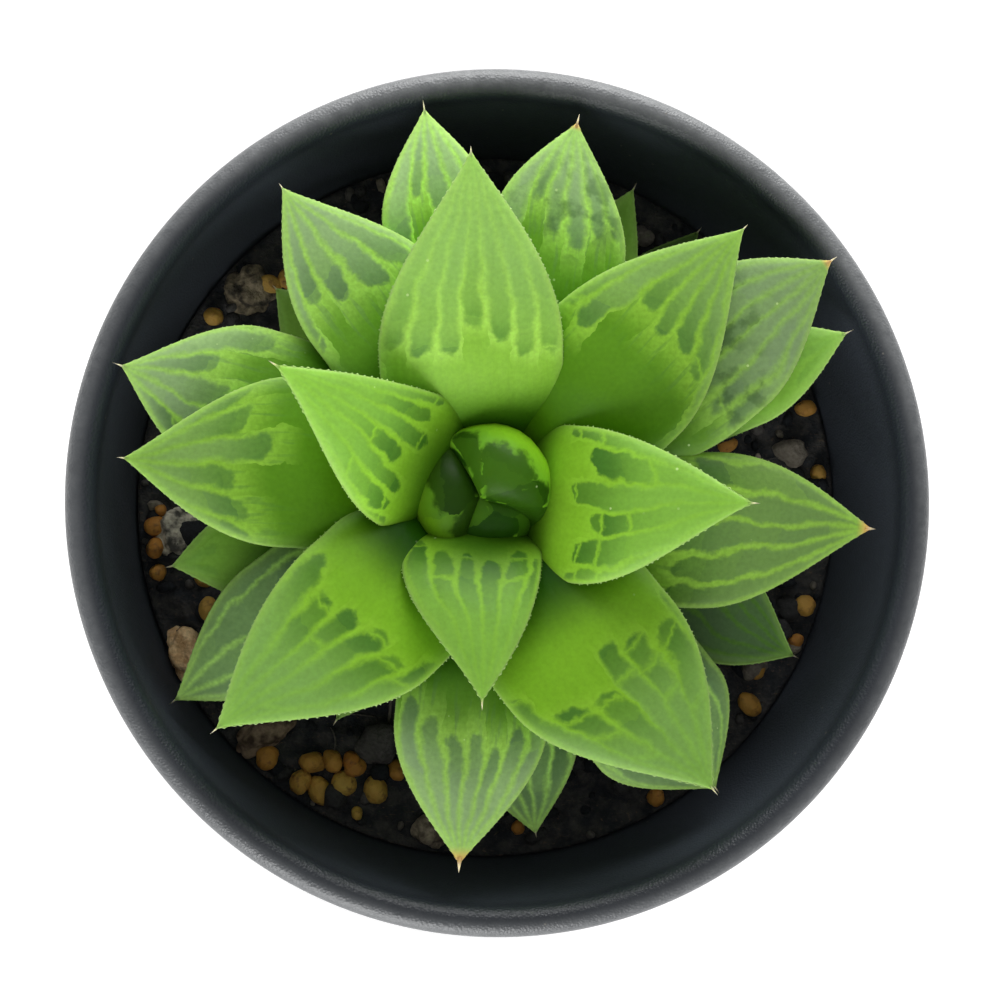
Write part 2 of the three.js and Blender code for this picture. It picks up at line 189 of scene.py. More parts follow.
def camera_axes():
    """Right, up and back of the camera, with the photograph's top towards +Y."""
    back = (CAMERA_PLACE - CAMERA_AIM).normalized()
    right = Vector((0, 1, 0)).cross(back).normalized()
    return right, back.cross(right), back


def add_camera():
    data = bpy.data.cameras.new("camera")
    data.lens = CAMERA_LENS
    data.sensor_width = SENSOR
    data.clip_start = 0.01
    camera = add_object("camera", data)
    camera.matrix_world = (Matrix.Translation(CAMERA_PLACE * MM)
                           @ Matrix(camera_axes()).transposed().to_4x4())
    bpy.context.scene.camera = camera


def under_pixel(x, y):
    """The spot where the camera's ray through a pixel meets the soil."""
    right, up, back = camera_axes()
    scale = SENSOR / CAMERA_LENS / PHOTO_SIZE
    ray = (right * (x - PHOTO_SIZE / 2) - up * (y - PHOTO_SIZE / 2)) * scale - back
    height = SOIL_EDGE
    for _ in range(4):
        point = CAMERA_PLACE + ray * ((height - CAMERA_PLACE.z) / ray.z)
        height = height_at(rough_soil_height, point.x, point.y)
    return point.x, point.y


# ---- Small helpers ----

def lerp(a, b, share):
    return a + (b - a) * share


def smoothstep(x, low, high):
    x = np.clip((x - low) / (high - low), 0, 1)
    return x * x * (3 - 2 * x)


def ripple(points, wavelength, seed, waves=9):
    """Smooth bumps of about that wavelength on an array of points, from -1 to 1."""
    draw = np.random.default_rng(seed)
    total = np.zeros(points.shape[:-1])
    for _ in range(waves):
        direction = draw.normal(size=3)
        direction /= np.linalg.norm(direction)
        turns = math.tau / wavelength * draw.uniform(0.6, 1.5)
        total += np.sin(points @ direction * turns + draw.uniform(0, math.tau))
    return total / math.sqrt(waves) / 1.5


def add_object(name, data):
    thing = bpy.data.objects.new(name, data)
    bpy.context.scene.collection.objects.link(thing)
    return thing


def make_object(name, points, faces, material=None, attributes=None):
    """A smooth-shaded mesh object from points in millimetres."""
    mesh = bpy.data.meshes.new(name)
    mesh.from_pydata((np.asarray(points) * MM).tolist(), [], faces)
    if material:
        mesh.materials.append(material)
    for key, values in (attributes or {}).items():
        values = np.asarray(values, np.float32)
        kind, field = ("FLOAT", "value") if values.ndim == 1 else ("FLOAT_VECTOR", "vector")
        mesh.attributes.new(key, kind, "POINT").data.foreach_set(field, values.ravel())
    mesh.shade_smooth()
    mesh.update()
    return add_object(name, mesh)


def circle_angles(count):
    """That many angles, evenly round a circle."""
    return np.linspace(0, math.tau, count, endpoint=False)


def circle(radius, height, sides, x=0.0, y=0.0):
    """Points round a level circle."""
    angles = circle_angles(sides)
    return np.stack([x + radius * np.cos(angles), y + radius * np.sin(angles),
                     np.full(sides, height)], axis=-1)


def ring_faces(rings, around):
    """Quads between neighbouring rings, each of them a closed ring of points."""
    faces = []
    for j in range(rings - 1):
        for i in range(around):
            a, b = j * around + i, j * around + (i + 1) % around
            faces.append((a, b, b + around, a + around))
    return faces


def cap_faces(start, around, centre, flip):
    """Triangles that close a ring with one point."""
    faces = []
    for i in range(around):
        a, b = start + i, start + (i + 1) % around
        faces.append((b, a, centre) if flip else (a, b, centre))
    return faces


def closed_rings(rings, ends):
    """Points and faces of a closed body: rings of points, and a point at each end."""
    around = len(rings[0])
    points = np.concatenate([*rings, ends])
    faces = ring_faces(len(rings), around)
    faces += cap_faces(0, around, len(points) - 2, flip=True)
    faces += cap_faces((len(rings) - 1) * around, around, len(points) - 1, flip=False)
    return points, faces


def tube(rings):
    """Points and faces of a closed tube through rings of points, with flat ends."""
    around = len(rings[0])
    last = (len(rings) - 1) * around
    faces = ring_faces(len(rings), around)
    faces += [tuple(reversed(range(around))), tuple(range(last, last + around))]
    return np.concatenate(rings), faces


def join(parts):
    """One list of points and one of faces from several."""
    points, faces, start = [], [], 0
    for some_points, some_faces in parts:
        points.append(some_points)
        faces += [tuple(start + k for k in face) for face in some_faces]
        start += len(some_points)
    return np.concatenate(points), faces


def finish_piece(piece, slot, *nodes):
    """Ties a piece to the frame, in the place of its CAD nodes."""
    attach(piece, "root")
    if nodes:
        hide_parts(*nodes)


# ---- Shader arithmetic ----

def srgb(red, green, blue):
    """A screen's colour as the linear colour of a shader."""
    seen = [c / 255 for c in (red, green, blue)]
    linear = [c / 12.92 if c <= 0.04045 else ((c + 0.055) / 1.055) ** 2.4 for c in seen]
    return (*linear, 1.0)


def put(target, value):
    """Sets an input to a number or colour, or links a signal to it."""
    if isinstance(value, Signal):
        value.tree.links.new(value.socket, target)
    else:
        target.default_value = value


def add_node(tree, kind, output=0, inputs=(), **settings):
    """Adds a node, and gives one of its outputs. Inputs go by their order, name or number."""
    node = tree.nodes.new(kind)
    for key, value in settings.items():
        setattr(node, key, value)
    for key, value in inputs.items() if isinstance(inputs, dict) else enumerate(inputs):
        put(node.inputs[key], value)
    return Signal(tree, node.outputs[output])


def arithmetic(operation, swapped=False):
    """A method of Signal that adds one math node, swapped where the number comes first."""
    def method(self, other):
        inputs = (other, self) if swapped else (self, other)
        return add_node(self.tree, "ShaderNodeMath", 0, inputs, operation=operation)
    return method


class Signal:
    """A value that varies over a surface. Arithmetic on it adds the matching nodes."""

    def __init__(self, tree, socket):
        self.tree = tree
        self.socket = socket

    __add__ = __radd__ = arithmetic("ADD")
    __sub__ = arithmetic("SUBTRACT")
    __rsub__ = arithmetic("SUBTRACT", swapped=True)
    __mul__ = __rmul__ = arithmetic("MULTIPLY")
    __truediv__ = arithmetic("DIVIDE")
    __rtruediv__ = arithmetic("DIVIDE", swapped=True)
    __pow__ = arithmetic("POWER")

    def math(self, operation, *others):
        return add_node(self.tree, "ShaderNodeMath", 0, (self, *others), operation=operation)

    def rise(self, low, high):
        """0 below low and 1 above high, with a smooth step between them."""
        return add_node(self.tree, "ShaderNodeMapRange", 0, (self, low, high),
                        interpolation_type="SMOOTHSTEP")

    def split(self):
        """The three parts of a vector."""
        node = self.tree.nodes.new("ShaderNodeSeparateXYZ")
        put(node.inputs[0], self)
        return [Signal(self.tree, output) for output in node.outputs]


class Material:
    """A new node material, with short calls for the nodes that this scene uses."""

    def __init__(self, name, **settings):
        self.material = bpy.data.materials.new(name)
        self.material.use_nodes = True
        self.tree = self.material.node_tree
        self.shader = self.tree.nodes["Principled BSDF"]
        for key, value in settings.items():
            self.set(key.replace("_", " ").title().replace("Ior", "IOR"), value)

    def set(self, key, value):
        put(self.shader.inputs[key], value)

    def node(self, kind, output=0, inputs=(), **settings):
        return add_node(self.tree, kind, output, inputs, **settings)

    def scale(self, vector, factor):
        """A vector or colour times a number or signal."""
        return self.node("ShaderNodeVectorMath", 0, {0: vector, "Scale": factor},
                         operation="SCALE")

    def place(self):
        """Where a point is, in millimetres."""
        return self.scale(self.node("ShaderNodeTexCoord", "Object"), 1000.0)

    def attribute(self, name, output="Fac"):
        return self.node("ShaderNodeAttribute", output, attribute_name=name)

    def vector(self, x, y, z):
        return self.node("ShaderNodeCombineXYZ", 0, (x, y, z))

    def noise(self, vector, scale, detail=2.0):
        return self.node("ShaderNodeTexNoise", 0,
                         {"Vector": vector, "Scale": scale, "Detail": detail})

    def cells(self, vector, scale, feature="F1"):
        return self.node("ShaderNodeTexVoronoi", "Distance",
                         {"Vector": vector, "Scale": scale}, feature=feature)

    def draw(self, vector):
        """A random number from 0 to 1 for each whole-number vector."""
        return self.node("ShaderNodeTexWhiteNoise", "Value", {"Vector": vector})

    def mix(self, share, a, b):
        """A mix of two colours, each of them a signal or a colour as on a screen."""
        a, b = [c if isinstance(c, Signal) else srgb(*c) for c in (a, b)]
        return self.node("ShaderNodeMix", 2, {0: share, 6: a, 7: b}, data_type="RGBA")

    def bump(self, height, depth):
        """Relief of that depth in millimetres for heights from 0 to 1."""
        self.set("Normal", self.node("ShaderNodeBump", 0,
                                     {"Height": height, "Distance": depth * MM}))


# ---- Leaves ----

@dataclass
class Skin:
    """The colours of a kind of leaf, and how strong its windows are."""
    foot: tuple             # flesh deep in the rosette, darkened as painted shade
    shoulder: tuple         # flesh just before the windows
    vein: tuple             # the net between the windows
    early: tuple            # windows where they begin
    late: tuple             # windows further out
    end: tuple              # the leaf near its tip
    blend: float            # how far the windows turn into the tip's colour
    strength: float = 1.0   # how clearly the windows show


SKINS = {
    "young": Skin((56, 106, 6), (144, 202, 48), (156, 214, 58), (76, 128, 44),
                  (116, 170, 62), (146, 202, 80), 0.86),
    "large": Skin((52, 100, 4), (140, 200, 44), (154, 212, 56), (84, 136, 48),
                  (116, 166, 66), (144, 192, 98), 0.8),
    # The pale leaves' shoulder has extra blue in it, a painted sheen.
    "pale": Skin((60, 112, 6), (146, 200, 66), (176, 228, 92), (104, 156, 60),
                 (134, 184, 76), (160, 208, 110), 0.7),
    "middle": Skin((82, 134, 12), (98, 152, 30), (150, 202, 66), (82, 128, 58),
                   (126, 164, 94), (140, 180, 96), 0.4, 0.9),
    "lined": Skin((82, 134, 12), (102, 158, 30), (172, 226, 82), (80, 126, 56),
                  (118, 156, 86), (136, 176, 94), 0.3),
    # The old leaves' grey-green windows and tips are partly their own colour and partly a painted
    # sheen.
    "old": Skin((58, 108, 4), (106, 156, 44), (160, 208, 88), (94, 126, 84),
                (134, 161, 120), (146, 174, 124), 0.35, 0.9),
    "shaded": Skin((50, 92, 10), (88, 132, 40), (158, 204, 98), (62, 90, 56),
                   (92, 122, 82), (124, 158, 96), 0.3),
    "plain": Skin((60, 106, 14), (106, 150, 52), (112, 156, 58), (90, 132, 54),
                  (104, 146, 62), (114, 158, 70), 0.5, 0.5),
    "dark": Skin((40, 76, 20), (56, 92, 32), (74, 112, 42), (58, 84, 48),
                 (72, 96, 62), (64, 98, 44), 0.2),
    # The bud's colours are dark partly of their own and partly as painted shade deep in the
    # rosette.
    "bud": Skin((60, 112, 2), (134, 192, 34), (104, 160, 38), (26, 62, 6),
                (30, 66, 8), (24, 58, 6), 0.0),
}
# The deep green of the painted shade between the leaves.
PAINTED_SHADE_GREEN = (26, 72, 0)
DARK_BLOT = (76, 108, 60)
PALE_AND_LIT_MARGIN = (176, 218, 118)
PALE_SPECK = (214, 236, 170)
DRY_TIP = (220, 172, 100)
BRISTLE = (226, 214, 170)
YOUNGER_LEAVES = 11       # how many leaves are passed the name leaf rather than old_leaf
TALL_TEETH = ("young", "large", "pale")
WIDE_NETS = ("middle", "lined", "old", "mottled", "shaded")

# How blurred the edges of the windows are, in mm, and how many have a link across them.
SOFTNESS = {"large": 0.12, "pale": 0.12, "middle": 0.08, "lined": 0.04, "old": 0.06,
            "mottled": 0.16, "shaded": 0.06, "bud": 0.08}
LINKS = {"young": 0.66, "large": 0.85, "pale": 0.25, "bud": 0.0}


def stem_radius(height):
    return lerp(STEM_FOOT_RADIUS, STEM_TOP_RADIUS, (height - STEM_FOOT) / (STEM_TOP - STEM_FOOT))


def open_spine(leaf, index):
    """Bézier points of an open leaf's middle line: distance from the middle, and height."""
    age = index / (len(LEAVES) - 1)
    foot_height = lerp(*FOOT_HEIGHTS, age)
    launch = math.radians(lerp(*LAUNCH_ANGLES, math.sqrt(age)))
    landing = math.radians(lerp(*LANDING_ANGLES, age))
    foot = np.array([stem_radius(foot_height) + FOOT_CLEARANCE, foot_height])
    tip = np.array([leaf.reach, RIM_HEIGHT + leaf.tip])
    span = np.linalg.norm(tip - foot)
    rising = np.array([math.cos(launch), math.sin(launch)])
    ending = np.array([math.cos(landing), math.sin(landing)])
    return np.array([foot, foot + LAUNCH_PULL * span * rising,
                     tip - LANDING_PULL * span * ending, tip])


def bud_spine(leaf):
    """The same for a bud leaf, which bulges out and folds in over the middle."""
    top = RIM_HEIGHT + leaf.tip
    return np.array([(STEM_TOP_RADIUS, FOOT_HEIGHTS[0]), (leaf.belly, RIM_HEIGHT - 3),
                     (leaf.belly, top + 0.6), (leaf.reach, top)])


def along_spine(spine, along):
    """Points and unit tangents of a Bézier line."""
    t = np.clip(along, 0, 1)[..., None]
    a, b, c, d = spine
    points = (1 - t) ** 3 * a + 3 * (1 - t) ** 2 * t * b + 3 * (1 - t) * t ** 2 * c + t ** 3 * d
    slope = (1 - t) ** 2 * (b - a) + 2 * (1 - t) * t * (c - b) + t ** 2 * (d - c)
    return points, slope / np.linalg.norm(slope, axis=-1, keepdims=True)


def spine_length(spine):
    line, _ = along_spine(spine, np.linspace(0, 1, 60))
    return float(np.linalg.norm(np.diff(line, axis=0), axis=1).sum())


def width_share(leaf, along):
    """The width at a place along a leaf, as a share of its full width."""
    foot = lerp(FOOT_SHARE, 1.0, smoothstep(along, 0, 0.85 * leaf.widest))
    end = np.sqrt(1 - np.maximum(0, 1 - along / ROUND_END) ** 2)
    past = np.clip((along - leaf.widest) / (1 - leaf.widest), 0, 1)
    return foot * end * (1 - past ** 2) ** POINT_POWER


def leaf_points(leaf, spine, wrap, along, across, lift):
    """Points of a leaf, for shares along it and across it and a height over its middle."""
    share = width_share(leaf, along)
    turn = across * leaf.width * share / 2 / wrap
    aside = (wrap - lift) * np.sin(turn) + leaf.bow * np.sin(math.pi * along) ** 2
    rise = wrap - (wrap - lift) * np.cos(turn)
    middle, tangent = along_spine(spine, along)
    out = middle[..., 0] - tangent[..., 1] * rise
    direction = math.radians(leaf.direction)
    return np.stack([
        PLANT[0] + out * math.cos(direction) - aside * math.sin(direction),
        PLANT[1] + out * math.sin(direction) + aside * math.cos(direction),
        middle[..., 1] + tangent[..., 0] * rise], axis=-1)


LEAF_STATIONS = 88
LEAF_SIDES = 56


def leaf_body(leaf, spine, wrap, seed):
    """Points, faces, places on the leaf and half widths of a leaf's closed skin."""
    along = np.linspace(0, 1, LEAF_STATIONS + 2)[1:-1]
    along = along + 0.06 * np.sin(math.pi * along) * np.cos(math.pi * along) * 2
    around = circle_angles(LEAF_SIDES)
    along, around = np.meshgrid(along, around, indexing="ij")
    share = width_share(leaf, along)
    depth = leaf.width * share ** 0.8
    face = np.sin(around)
    rounding = np.sign(face) * np.abs(face) ** EDGE_POWER
    lift = rounding * np.where(face > 0, CROWN, KEEL) * depth
    across = -np.cos(around)
    points = leaf_points(leaf, spine, wrap, along, across, lift)
    waves = ripple(points, 6.0, seed) * 0.12 + ripple(points, 2.4, seed + 1) * 0.03
    points = leaf_points(leaf, spine, wrap, along, across, lift + waves * np.abs(face) * share)
    ends = leaf_points(leaf, spine, wrap, np.array([0.0, 1.0]), np.zeros(2), np.zeros(2))
    points, faces = closed_rings(points, ends)
    places = np.stack([along, across, face], axis=-1).reshape(-1, 3)
    places = np.concatenate([places, [(0, 0, 0), (1, 0, 0)]])
    halves = np.concatenate([(share * leaf.width / 2).ravel(), [0, 0]])
    return points, faces, places, halves


def spike(base, side_a, side_b, point, sides=4):
    """A closed cone from a ring round base to a point."""
    angles = circle_angles(sides)
    ring = base + np.outer(np.cos(angles), side_a) + np.outer(np.sin(angles), side_b)
    faces = [tuple(reversed(range(sides)))]
    faces += [(k, (k + 1) % sides, sides) for k in range(sides)]
    return np.concatenate([ring, [point]]), faces


TOOTH_SPACING = 0.5
TOOTH_HEIGHT = 0.12


def leaf_teeth(leaf, spine, wrap, seed):
    """Teeth along both margins, leaning towards the tip, lower on the older leaves."""
    draw = np.random.default_rng(seed)
    length = spine_length(spine)
    height = TOOTH_HEIGHT * (1.0 if leaf.kind in TALL_TEETH else 0.55)
    parts, places = [], []
    for side in (-1.0, 1.0):
        along = 0.2
        while along < 0.97:
            along += TOOTH_SPACING / length * draw.uniform(0.6, 1.4)
            size = height * draw.uniform(0.4, 1.3)
            half = leaf.width * width_share(leaf, np.array([along]))[0] / 2
            reach = np.array([0.97, 1 + size / half])
            lean = np.array([along, along + 0.7 * size / length])
            foot, tip = leaf_points(leaf, spine, wrap, lean, side * reach, np.zeros(2))
            ahead, above = leaf_points(leaf, spine, wrap, np.array([along + 0.27 / length, along]),
                                       side * reach[:1], np.array([0, 0.07]))
            parts.append(spike(foot, ahead - foot, above - foot, tip))
            places += [(along, side, 0)] * 5
    points, faces = join(parts)
    return points, faces, np.array(places)


def leaf_awn(leaf, spine, wrap, seed):
    """The short bristle that ends a leaf."""
    draw = np.random.default_rng(seed)
    length = draw.uniform(0.35, 0.75)
    foot, tip, above = leaf_points(leaf, spine, wrap, np.array([0.984, 1.0, 0.984]), np.zeros(3),
                                   np.array([0, 0, 0.13 + 0.13 * leaf.dry]))
    ahead = (tip - foot) / np.linalg.norm(tip - foot)
    up = above - foot
    side = np.cross(ahead, up)
    end = tip + ahead * length + np.array([0, 0, draw.uniform(-0.2, 0.2)])
    points, faces = spike(foot, side, up, end, sides=8)
    return points, faces, np.array([(0.985, 0, 1)] * 8 + [(1.1, 0, 1)])


def window_columns(m, leaf, seed, place, across):
    """The number of the column of windows that a point is in, and where in it, 0 to 1."""
    wander = (m.noise(place, 0.2) - 0.5) * 1.2 + (m.noise(place, 1.4, 3.0) - 0.5) * 0.25
    column = across * (leaf.columns / 2) + wander + (seed * 0.37 % 1.0)
    return column.math("FLOOR"), column.math("FRACT")


def vein_distance(m, leaf, place, along, half, inside, start):
    """How far a point is from the veins beside its column, which are wider at its start."""
    finger = 0.22 / (1 + start.math("MAXIMUM", 0.0) * 0.7)
    breadth = 0.5 if leaf.kind == "lined" else 0.3
    vein_half = (breadth * m.noise(place, 0.5) - 0.05) * (1.25 - along * 0.8) + finger
    to_vein = inside.math("MINIMUM", 1 - inside) * half * (2 / leaf.columns) - vein_half
    if leaf.kind == "bud":
        to_vein = to_vein + 0.05 + m.noise(place, 0.6).rise(0.38, 0.46) * 3.0
    return to_vein


def link_distance(m, leaf, seed, number, step):
    """How far a point is from the thin links across the columns, which only some have."""
    link_number = (step + 0.5).math("FLOOR")
    link_draw = m.draw(m.vector(number, link_number, float(seed)))
    chance = LINKS.get(leaf.kind, 0.34)
    no_link = (link_draw + link_number * 0.2).rise(chance, chance + 0.02)
    return (step - link_number).math("ABSOLUTE") * 2.0 - 0.05 + no_link * 9.0


def window_shapes(m, leaf, seed, length, along, across, half):
    """The clear windows, from 0 to 1, and how far a point is past their start, in mm."""
    place = m.place()
    edge = across.math("ABSOLUTE")
    number, inside = window_columns(m, leaf, seed, place, across)
    own = m.draw(m.vector(number, float(seed), 0.0))
    other = m.draw(m.vector(number, float(seed), 5.0))

    # Each column begins with a round end, at a place of its own.
    off_middle = (inside - 0.5) * 2
    skew = across * 0.05 if leaf.kind == "bud" else 0.0
    uneven = (own - 0.5) * (0.17 if leaf.kind in WIDE_NETS else 0.11)
    past = (along - leaf.windows + edge * edge * 0.07 - uneven - skew) * length
    ragged = past + (m.noise(place, 0.9, 3.0) - 0.5) * 1.4
    start = ragged - off_middle * off_middle * 0.9

    # The links are closer together where the windows begin.
    step = (ragged.math("MAXIMUM", 0.01) ** 0.7) * 0.75 + other * 0.5
    to_vein = vein_distance(m, leaf, place, along, half, inside, start)
    to_link = link_distance(m, leaf, seed, number, step)
    to_margin = (1 - edge) * half - (-1.0 if leaf.kind == "bud" else 0.25)
    clear = to_vein.math("SMOOTH_MIN", start, 0.7).math("SMOOTH_MIN", to_link, 0.3)
    clear = clear.math("SMOOTH_MIN", to_margin, 0.4) + (m.noise(place, 3.5, 2.0) - 0.5) * 0.22
    cell = m.draw(m.vector(number, step.math("FLOOR"), seed + 0.5))
    soft = SOFTNESS.get(leaf.kind, 0.0)
    return clear.rise(-0.1 - soft, 0.26 + soft * 1.5) * (0.72 + cell * 0.28), past


def from_middle(place):
    """How far a point is from the rosette's upright axis, in mm."""
    x, y, _ = place.split()
    x, y = x - PLANT[0], y - PLANT[1]
    return (x * x + y * y).math("SQRT")


def leaf_colour(m, leaf, length, along, window, past, mottle, streaks):
    """The flesh and the veins, then the windows, from the foot to the tip."""
    skin = SKINS["old" if leaf.kind == "mottled" else leaf.kind]
    # The flesh darkens from the shoulder down to the foot: painted shade deep in the rosette.
    flesh = m.mix(along.rise(leaf.windows - 0.31, leaf.windows - 0.08), skin.foot, skin.shoulder)
    wide_net = leaf.kind in WIDE_NETS
    beyond = past.rise(-3.2 if wide_net else -1.2, 0.8)
    fade = past.rise(1.0, length * (1 - leaf.windows) * 0.65) * skin.blend
    colour = m.mix(beyond * (0.55 + mottle * 0.7), flesh, skin.vein)
    colour = m.mix(fade * beyond * 0.75, colour, skin.end)
    if wide_net:
        dark = streaks.rise(0.52, 0.66) * past.rise(-5.5, -1.0) * (1 - past.rise(-0.5, 2.5))
        colour = m.mix(dark * 0.4, colour, skin.early)
    dark_zone = 3.0 if leaf.kind == "pale" else 7.0
    glass = m.mix(fade, m.mix(past.rise(0.0, dark_zone), skin.early, skin.late), skin.end)
    return m.mix(window * skin.strength, colour, glass)


def leaf_shade_and_marks(m, leaf, place, along, colour):
    """Painted shade between the leaves, small pale specks, the dry tip and the bristle."""
    # Painted shade: the leaf darkens to a deep green towards the rosette's axis, where shade falls
    # between the leaves.
    if leaf.painted_shade_reach:
        depth = 1 - from_middle(place).rise(leaf.painted_shade_reach * 0.5, leaf.painted_shade_reach)
        colour = m.mix(depth * 0.85, colour, PAINTED_SHADE_GREEN)
    specks = m.cells(place, 0.42).rise(0.055, 0.04) * m.noise(place, 0.3).rise(0.5, 0.62)
    colour = m.mix(specks * 0.5, colour, PALE_SPECK)
    if leaf.dry:
        colour = m.mix(along.rise(0.985 - 0.03 * leaf.dry, 0.995) * 0.95, colour, DRY_TIP)
    return m.mix(along.rise(0.99, 1.06) * 0.9, colour, BRISTLE)


def leaf_material(name, leaf, seed, length):
    """Green flesh with a net of bright veins round clear windows in the outer part."""
    m = Material(name, specular_ior_level=0.1, subsurface_weight=0.3,
                 subsurface_scale=1.2 * MM, subsurface_radius=(0.8, 1.0, 0.35))
    place = m.place()
    along, across, face = m.attribute("leaf_place", "Vector").split()
    half = m.attribute("half_width")
    window, past = window_shapes(m, leaf, seed, length, along, across, half)
    if leaf.kind == "bud":
        window = window * (1 - face.rise(-0.1, 0.25) * 0.2)
    else:
        window = window * (face.rise(-0.25, 0.1) * 0.65 + 0.35)

    # Fine mottling, streaks that run along the leaf, and broad light and dark areas.
    mottle = m.noise(place, 2.6, 4.0)
    streaks = m.noise(m.vector(along * length * 0.22, across * half * 1.6, float(seed)), 1.0)
    cloud = m.noise(place, 0.25)
    colour = leaf_colour(m, leaf, length, along, window, past, mottle, streaks)
    if leaf.kind == "mottled":
        blots = m.noise(place, 0.55, 3.0).rise(0.5, 0.64) * (1 - past.rise(3.0, 9.0))
        colour = m.mix(blots * past.rise(-2.0, 0.5) * 0.6, colour, DARK_BLOT)

    # Thin pale margins: a narrow pale line that the leaf has, and a wider soft band of painted
    # light where light shines through the thin edge.
    to_margin = (1 - across.math("ABSOLUTE")) * half
    thin = (1 - to_margin.rise(0.0, 1.4)) * 0.2 + (1 - to_margin.rise(0.05, 0.25)) * 0.35
    if leaf.kind != "bud":
        colour = m.mix(thin * along.rise(0.1, 0.5), colour, PALE_AND_LIT_MARGIN)
    # Brightness: mottling of its own, times the leaf's tone, which holds painted light and shade
    # as well.
    light = (0.71 + mottle * 0.34 + streaks * 0.14 + cloud * 0.14) * leaf.tone
    m.set("Base Color", leaf_shade_and_marks(m, leaf, place, along, m.scale(colour, light)))
    m.set("Roughness", 0.44 - window * 0.08 + (mottle - 0.5) * 0.12)
    m.bump(mottle * 0.3 + streaks * 0.35 - window * 0.25, 0.08)
    return m.material


def make_leaf(name, slot, leaf, spine, wrap, seed):
    length = spine_length(spine)
    points, faces, places, halves = leaf_body(leaf, spine, wrap, seed)
    parts = [(points, faces)]
    extras = []
    if leaf.kind != "bud":
        extras = [leaf_awn(leaf, spine, wrap, seed + 3), leaf_teeth(leaf, spine, wrap, seed + 2)]
    for more_points, more_faces, more_places in extras:
        parts.append((more_points, more_faces))
        places = np.concatenate([places, more_places])
        halves = np.concatenate([halves, np.full(len(more_points), 0.2)])
    points, faces = join(parts)
    material = leaf_material(name + "_skin", leaf, seed, length)
    piece = make_object(name + "_fine", points, faces, material,
                        {"leaf_place": places, "half_width": halves})
    finish_piece(piece, slot, name)


# ---- Soil ----

def inner_radius(height):
    return lerp(FLOOR_RADIUS, MOUTH_RADIUS, (height - FLOOR_TOP) / (MOUTH_HEIGHT - FLOOR_TOP))


SOIL_RADIUS = inner_radius(SOIL_EDGE) - GAP


def lump_draw(seed):
    """The repeatable draw that the CAD model's soil lumps come from."""
    wave = np.sin(seed * 127.1 + 11.7) * 43758.5453
    return wave - np.floor(wave)


def soil_height(x, y):
    """The height of the CAD model's soil: a low mound with a field of round lumps."""
    reach = np.hypot(x, y) / inner_radius(SOIL_EDGE)
    column, row = np.round(x / LUMP_SPACING), np.round(y / LUMP_SPACING)
    lump = np.zeros_like(x)
    for i in (-1, 0, 1):
        for j in (-1, 0, 1):
            seed = (column + i) * 57 + row + j
            dx = x - LUMP_SPACING * (column + i + LUMP_WANDER * (lump_draw(seed) - 0.5))
            dy = y - LUMP_SPACING * (row + j + LUMP_WANDER * (lump_draw(seed + 0.3) - 0.5))
            size = LUMP_SPACING * (LUMP_SMALLEST + LUMP_SPREAD * lump_draw(seed + 0.6))
            inside = np.maximum(0, 1 - (dx * dx + dy * dy) / size ** 2)
            lump = np.maximum(lump, LUMP_RISE * lump_draw(seed + 0.9) * np.sqrt(inside))
    fade = np.clip((1 - reach) * 6, 0, 1)
    return SOIL_EDGE + SOIL_MOUND * (1 - reach ** 2) + lump * fade


def rough_soil_height(x, y):
    """The same soil with its crumbs."""
    flat = np.stack([x, y, 0 * x], axis=-1)
    fade = np.clip((1 - np.hypot(x, y) / SOIL_RADIUS) * 12, 0, 1)
    crumbs = ripple(flat, 2.6, 71, 14) * 0.45 + ripple(flat, 1.1, 72, 14) * 0.22
    return soil_height(x, y) + crumbs * fade


def height_at(surface, x, y):
    """The height of a surface over one spot."""
    return float(surface(np.array([x]), np.array([y]))[0])


def make_soil():
    around, circles = 320, 92
    foot = FLOOR_TOP + GAP
    side = inner_radius(foot + 1) - GAP
    profile = [(side - 1, foot), (side, foot + 1), (SOIL_RADIUS, SOIL_EDGE)]
    profile += [(SOIL_RADIUS * (circles - k) / circles, None) for k in range(1, circles)]
    rings = []
    for radius, height in profile:
        ring = circle(radius, height or 0.0, around)
        if height is None:
            ring[:, 2] = rough_soil_height(ring[:, 0], ring[:, 1])
        rings.append(ring)
    ends = [(0, 0, foot), (0, 0, height_at(rough_soil_height, 0.0, 0.0))]
    points, faces = closed_rings(rings, ends)
    soil = make_object("soil_fine", points, faces, soil_material())
    finish_piece(soil, "soil", "soil")


def soil_material():
    m = Material("soil_skin", roughness=0.95, specular_ior_level=0.25)
    place = m.place()
    coarse, fine = m.noise(place, 0.7, 5.0), m.noise(place, 3.0, 4.0)
    stretched = m.node("ShaderNodeMapping", 0, {
        "Vector": place, "Rotation": (0.3, 0.2, 0.7), "Scale": (0.25, 2.4, 1.0)})
    fibres = m.cells(stretched, 1.0, "DISTANCE_TO_EDGE").rise(0.05, 0.01)
    colour = m.mix(coarse.rise(0.35, 0.7), (36, 39, 43), (66, 65, 63))
    colour = m.mix(fibres * fine.rise(0.5, 0.7) * 0.7, colour, (92, 76, 62))
    m.set("Base Color", m.scale(colour, 0.55 + fine * 0.9))
    m.set("Roughness", 0.7 + fine * 0.35)
    m.bump(coarse * 0.6 + fine * 0.5, 0.5)
    return m.material


def ball(levels):
    """Points and faces of a round ball of triangles."""
    mesh = bmesh.new()
    bmesh.ops.create_icosphere(mesh, subdivisions=levels, radius=1.0)
    points = np.array([v.co for v in mesh.verts])
    faces = [tuple(v.index for v in f.verts) for f in mesh.faces]
    mesh.free()
    return points, faces


BALLS = {levels: ball(levels) for levels in (2, 3, 5)}


